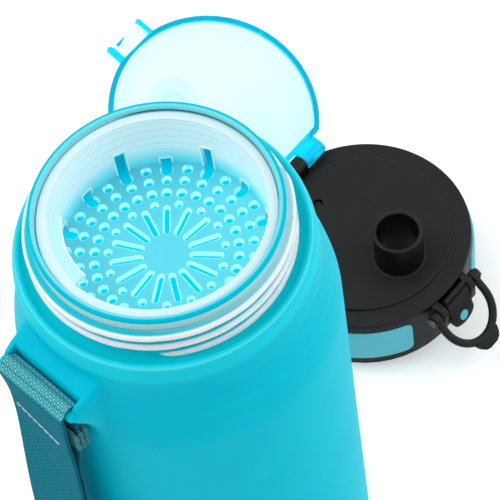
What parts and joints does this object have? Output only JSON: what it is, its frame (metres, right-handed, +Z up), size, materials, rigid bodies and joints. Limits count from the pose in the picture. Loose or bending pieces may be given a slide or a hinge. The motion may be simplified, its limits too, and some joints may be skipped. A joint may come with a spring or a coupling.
{
  "type": "sports water bottle",
  "caption": "Tall sports water bottle with a strainer in its neck, a wrist strap, and a screw lid that has a spout, a flip cover on a spring hinge, a push latch and a lock ring.",
  "frame": {"origin": "centre of the bottle's base, on the table that the bottle and its lid stand on", "axes": "+Z up along the bottle's axis; -X towards the strap lug; the lid lies on the table at +X +Y, with its latch towards -Y"},
  "size_m": [0.1987, 0.1908, 0.225],
  "materials": {
    "body_plastic": "frosted translucent cyan, clear at the neck",
    "strainer_plastic": "satin, slightly translucent",
    "cover_plastic": "clear, pale cyan, polished",
    "lid_plastic": "satin black moulding",
    "grip_rubber": "matt soft touch",
    "seal_silicone": "matt silicone",
    "strap_webbing": "woven webbing",
    "steel": "plain stainless wire"
  },
  "bodies": {
    "bottle": {"bottle_body": "body_plastic"},
    "strainer": {"strainer": "strainer_plastic"},
    "strap": {"carry_strap": "strap_webbing"},
    "lid": {"lid_shell": "lid_plastic", "lid_liner": "lid_plastic", "lid_gasket": "seal_silicone", "vent_valve": "seal_silicone", "grip_pad_left": "grip_rubber", "grip_pad_right": "grip_rubber", "hinge_pin": "steel", "hinge_spring": "steel", "button_spring": "steel", "bail_pin_left": "steel", "bail_pin_right": "steel"},
    "cover": {"flip_cover": "cover_plastic", "spout_plug": "seal_silicone"},
    "button": {"latch_button": "lid_plastic", "button_inlay": "grip_rubber"},
    "bail": {"bail_ring": "lid_plastic"}
  },
  "joints": [
    {"name": "strainer_lift", "type": "slide", "parent": "bottle", "child": "strainer", "axis": [0, 0, 1], "range_m": [0, 0.06]},
    {"name": "strap_swing", "type": "hinge", "parent": "bottle", "child": "strap", "pos_m": [-0.0434, 0, 0.1995], "axis": [0, 1, 0], "range_deg": [0, 150]},
    {"name": "lid_lift", "type": "slide", "parent": "bottle", "child": "lid", "axis": [0, 0, 1], "range_m": [0, 0.06]},
    {"name": "cover_hinge", "type": "hinge", "parent": "lid", "child": "cover", "pos_m": [0.10791, 0.08273, 0.0293], "axis": [-0.9978, -0.0663, 0], "range_deg": [-159.5, 0], "stiffness_Nm_per_rad": 0.0024, "springref_deg": 28.65, "deforming": ["hinge_spring"]},
    {"name": "button_press", "type": "slide", "parent": "lid", "child": "button", "axis": [-0.0663, 0.9978, 0], "range_m": [0, 0.0012], "stiffness_N_per_m": 400, "springref_m": -0.002, "deforming": ["button_spring"]},
    {"name": "bail_hinge", "type": "hinge", "parent": "lid", "child": "bail", "pos_m": [0.11245, 0.01448, 0.0227], "axis": [-0.9978, -0.0663, 0], "range_deg": [-40, 140]}
  ]
}
